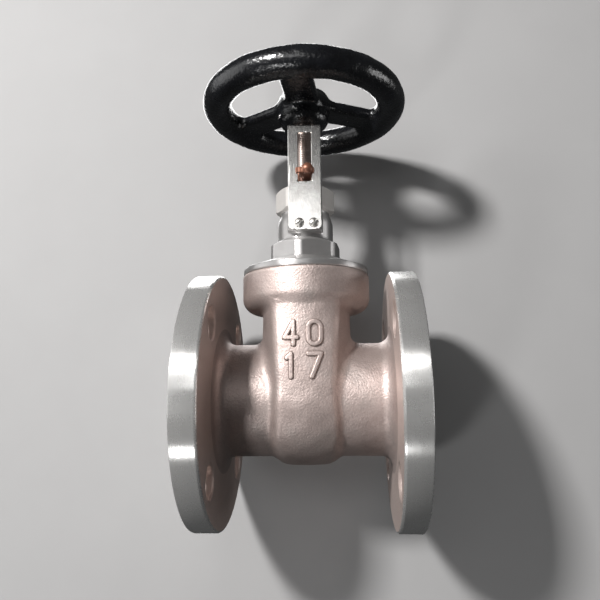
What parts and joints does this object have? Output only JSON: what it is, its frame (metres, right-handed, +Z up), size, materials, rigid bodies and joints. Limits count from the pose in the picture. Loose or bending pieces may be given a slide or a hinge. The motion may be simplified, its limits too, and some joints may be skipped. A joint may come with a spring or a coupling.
{
  "type": "bronze gate valve",
  "caption": "Flanged bronze gate valve with a screwed bonnet, a gland nut, a travelling pointer in a slotted plate, and a handwheel on a non-rising stem.",
  "frame": {"origin": "centre of the inlet flange's face, on the flow axis", "axes": "+X along the flow axis into the valve, +Z up along the stem, -Y towards the pointer plate"},
  "size_m": [0.1034, 0.12, 0.2208],
  "materials": {
    "cast_bronze": "matte as-cast skin with machined rims and faces",
    "bonnet_bronze": "machined, fine turning marks",
    "gland_bronze": "machined",
    "trim_bronze": "machined, satin",
    "stem_brass": "turned, satin",
    "packing_black": "matte",
    "plate_steel": "bright",
    "screw_steel": "bright plated",
    "pointer_copper": "satin",
    "wheel_black": "gloss black paint over rough casting"
  },
  "bodies": {
    "valve": {"valve_body": "cast_bronze", "inlet_seat_ring": "trim_bronze", "outlet_seat_ring": "trim_bronze", "bonnet": "bonnet_bronze", "packing_ring": "packing_black", "gland_bush": "trim_bronze", "gland_nut": "gland_bronze", "pointer_plate": "plate_steel", "left_plate_screw": "screw_steel", "right_plate_screw": "screw_steel"},
    "wheel_and_stem": {"handwheel": "wheel_black", "stem": "stem_brass", "wheel_washer": "screw_steel", "wheel_nut": "screw_steel"},
    "gate": {"wedge_gate": "trim_bronze"},
    "pointer": {"pointer_nut": "pointer_copper"}
  },
  "joints": [
    {"name": "handwheel_turn", "type": "hinge", "parent": "valve", "child": "wheel_and_stem", "pos_m": [0.051, 0, 0.148], "axis": [0, 0, 1], "range_deg": [0, 3780]},
    {"name": "gate_lift", "type": "slide", "parent": "valve", "child": "gate", "axis": [0, 0, 1], "range_m": [0, 0.0421]},
    {"name": "pointer_travel", "type": "slide", "parent": "valve", "child": "pointer", "axis": [0, 0, 1], "range_m": [0, 0.0148]}
  ],
  "couplings": [
    {"joint": "gate_lift", "follows": "handwheel_turn", "m_per_rad": 0.00063662},
    {"joint": "pointer_travel", "follows": "handwheel_turn", "m_per_rad": 0.00022282}
  ]
}
